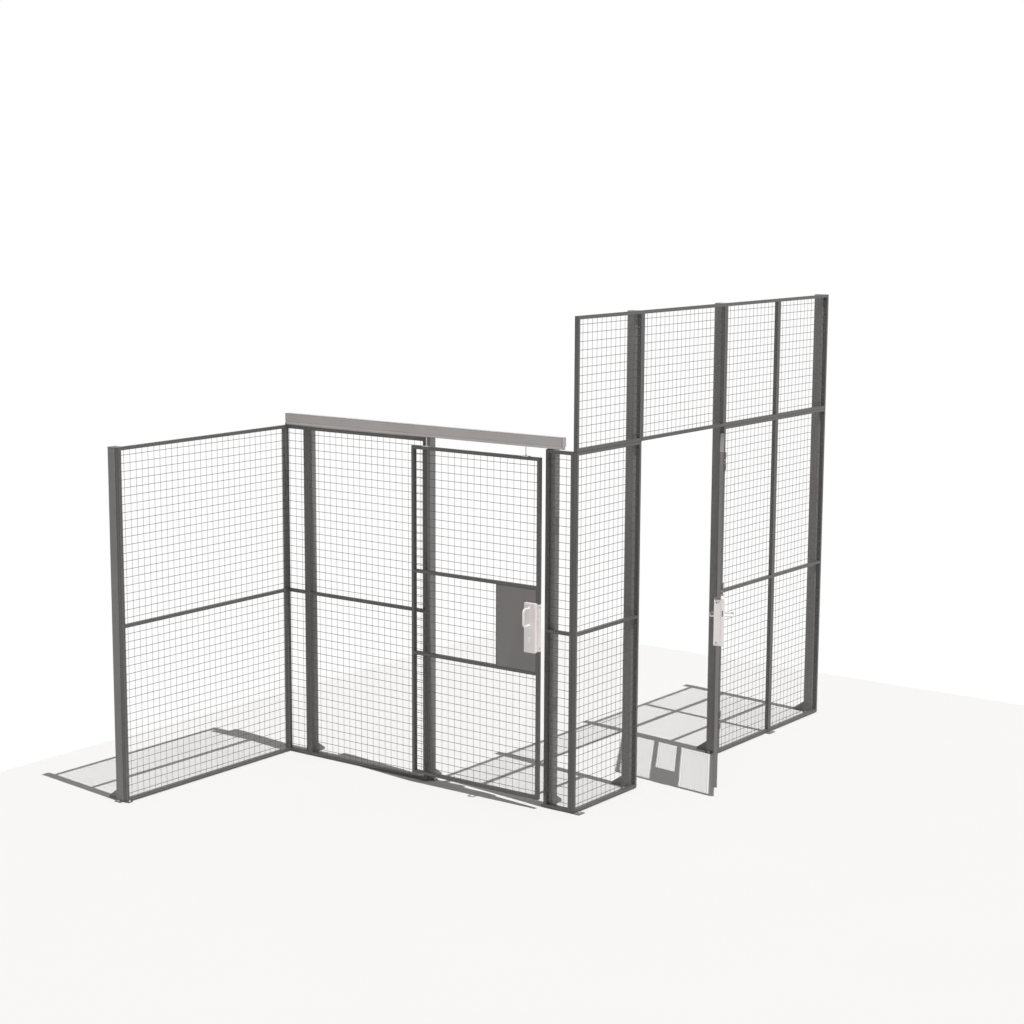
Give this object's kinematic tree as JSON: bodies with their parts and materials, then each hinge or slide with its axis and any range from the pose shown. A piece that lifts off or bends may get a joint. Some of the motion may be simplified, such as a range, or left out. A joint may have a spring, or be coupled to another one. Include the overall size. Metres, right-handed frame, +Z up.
{
  "type": "machine guard fence enclosure with a sliding and a hinged door",
  "caption": "Framed mesh guard fence on square posts, set out as a Z, with a top-hung sliding door and a hinged door in the taller run.",
  "frame": {"origin": "on the floor under the outer corner where runs B and C meet, on the underside of the corner foot", "axes": "+X along run B to the right as seen from outside, +Y along run C away from run B, +Z up"},
  "size_m": [3.0274, 4.655, 3.005],
  "materials": {
    "frame_steel": "grey powder coat on steel tube and wire, fine satin texture",
    "cap_grey": "grey moulded post caps, close to the colour of the posts",
    "track_grey": "light grey satin coat on the track cover",
    "lock_case": "off-white moulded lock housing",
    "plastic_black": "black moulded plastic",
    "zinc": "zinc-plated steel"
  },
  "bodies": {
    "root": {"post_a_end": "frame_steel", "post_b_left": "frame_steel", "post_b_mid": "frame_steel", "post_b_right": "frame_steel", "post_c_near": "frame_steel", "post_c_hinge": "frame_steel", "post_c_end": "frame_steel", "post_caps": "cap_grey", "panel_a": "frame_steel", "panel_b_left": "frame_steel", "panel_b_wide": "frame_steel", "panel_b_right": "frame_steel", "panel_c_near_lower": "frame_steel", "panel_c_near_upper": "frame_steel", "door_header": "frame_steel", "panel_c_mid_lower": "frame_steel", "panel_c_mid_upper": "frame_steel", "panel_c_far_lower": "frame_steel", "panel_c_far_upper": "frame_steel", "foot_corner": "frame_steel", "foot_joint": "frame_steel", "foot_a_end": "frame_steel", "track_cover": "track_grey", "track_end_caps": "track_grey", "track_rail": "zinc", "track_brackets": "frame_steel", "swing_hinge_pins": "zinc", "swing_hinge_post_side": "frame_steel"},
    "sliding_door": {"slide_leaf": "frame_steel", "slide_hangers": "frame_steel", "slide_rollers": "plastic_black", "slide_lock_plate": "frame_steel", "slide_lock_case": "lock_case", "slide_key_cylinder": "zinc", "slide_handle": "lock_case"},
    "hinged_door": {"swing_leaf": "frame_steel", "swing_lock_plate": "frame_steel", "swing_lock_case": "lock_case", "swing_key_cylinder": "zinc", "swing_hinge_leaf_side": "frame_steel"},
    "lever": {"swing_levers": "lock_case"}
  },
  "joints": [
    {"name": "sliding_door_slide", "type": "slide", "parent": "root", "child": "sliding_door", "axis": [-1, 0, 0], "range_m": [0, 0.94]},
    {"name": "hinged_door_swing", "type": "hinge", "parent": "root", "child": "hinged_door", "pos_m": [0.012, 1.694, 0], "axis": [0, 0, 1], "range_deg": [-30.1, 80]},
    {"name": "lever_turn", "type": "hinge", "parent": "hinged_door", "child": "lever", "pos_m": [0.4639, 0.87754, 1.139], "axis": [0.8652, 0.5015, 0], "range_deg": [-40, 0], "stiffness_Nm_per_rad": 2, "springref_deg": 22.92}
  ]
}
